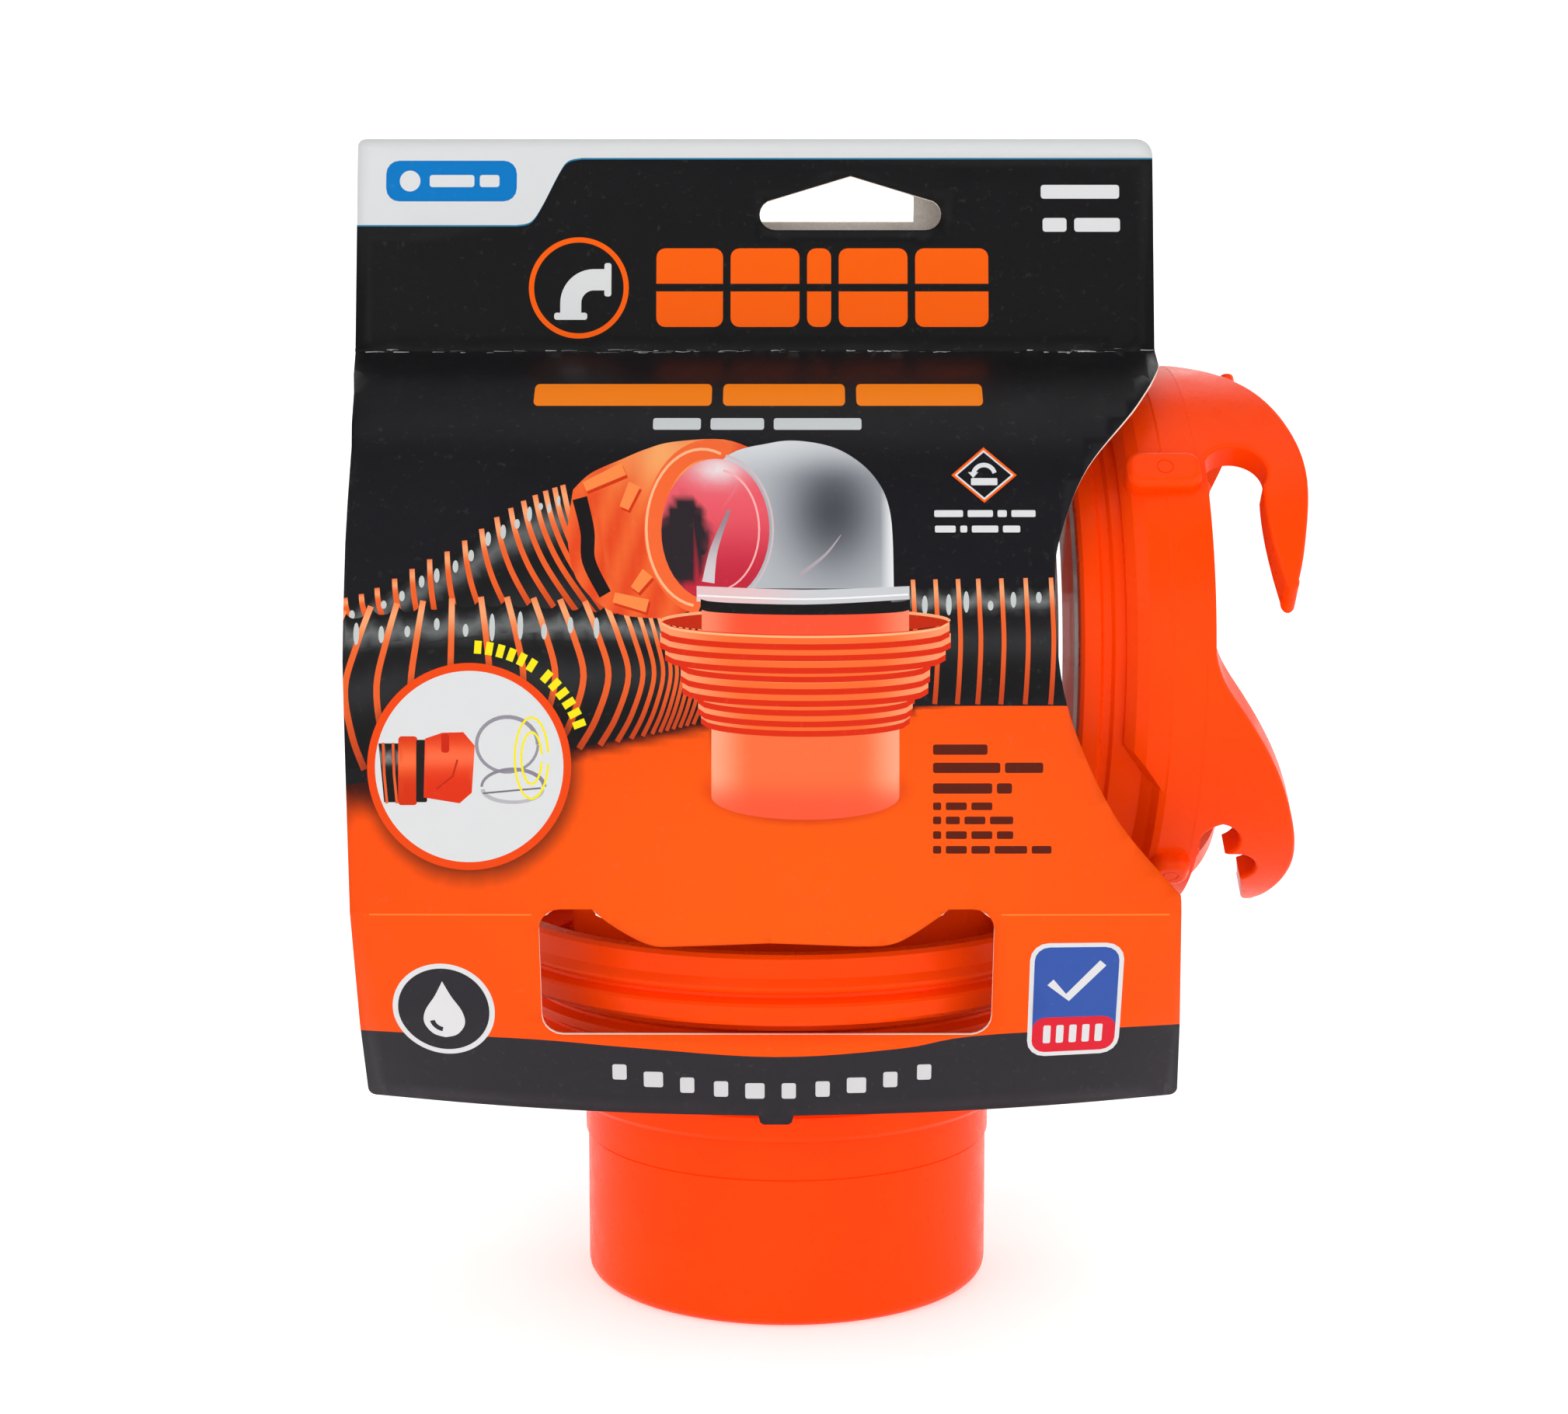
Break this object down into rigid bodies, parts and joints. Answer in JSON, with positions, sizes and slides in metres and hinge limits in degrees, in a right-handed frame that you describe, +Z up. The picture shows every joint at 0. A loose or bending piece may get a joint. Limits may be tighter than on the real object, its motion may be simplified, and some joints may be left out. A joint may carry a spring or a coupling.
{
  "type": "sewer elbow fitting kit",
  "caption": "Clear swivel elbow with a bayonet hook ring and a stepped threaded drain adapter, packed in a folded hanging card sleeve.",
  "frame": {"origin": "centre of the adapter's open lower end, on the surface it stands on", "axes": "+Z up along the adapter's axis; +X the way the elbow's outlet points; the sleeve's front faces -Y, turned 3.5 degrees"},
  "size_m": [0.1705, 0.1278, 0.2149],
  "materials": {
    "orange_plastic": "moulded polypropylene, smooth, soft gloss",
    "clear_plastic": "clear moulded, polished",
    "natural_plastic": "unpigmented nylon",
    "black_rubber": "soft, matt",
    "printed_card": "printed and varnished board, cream core"
  },
  "bodies": {
    "elbow": {"clear_elbow": "clear_plastic", "elbow_collar": "orange_plastic", "collar_gasket": "black_rubber", "swivel_seal": "black_rubber", "swivel_retainer": "natural_plastic", "card_header": "printed_card", "card_back": "printed_card", "card_bottom": "printed_card"},
    "adapter": {"stepped_adapter": "orange_plastic", "adapter_seal": "black_rubber"},
    "ring": {"bayonet_ring": "orange_plastic", "mouth_gasket": "black_rubber"},
    "card_flap": {"card_front": "printed_card"}
  },
  "joints": [
    {"name": "ring_swivel", "type": "hinge", "parent": "elbow", "child": "ring", "pos_m": [0, 0, 0.1226], "axis": [1, 0, 0], "continuous": true},
    {"name": "adapter_twist", "type": "hinge", "parent": "elbow", "child": "adapter", "pos_m": [0, 0, 0], "axis": [0, 0, 1], "range_deg": [0, 45]},
    {"name": "flap_fold", "type": "hinge", "parent": "elbow", "child": "card_flap", "pos_m": [-0.00065, -0.01058, 0.1769], "axis": [-0.9981, 0.061, 0], "range_deg": [0, 100]}
  ]
}
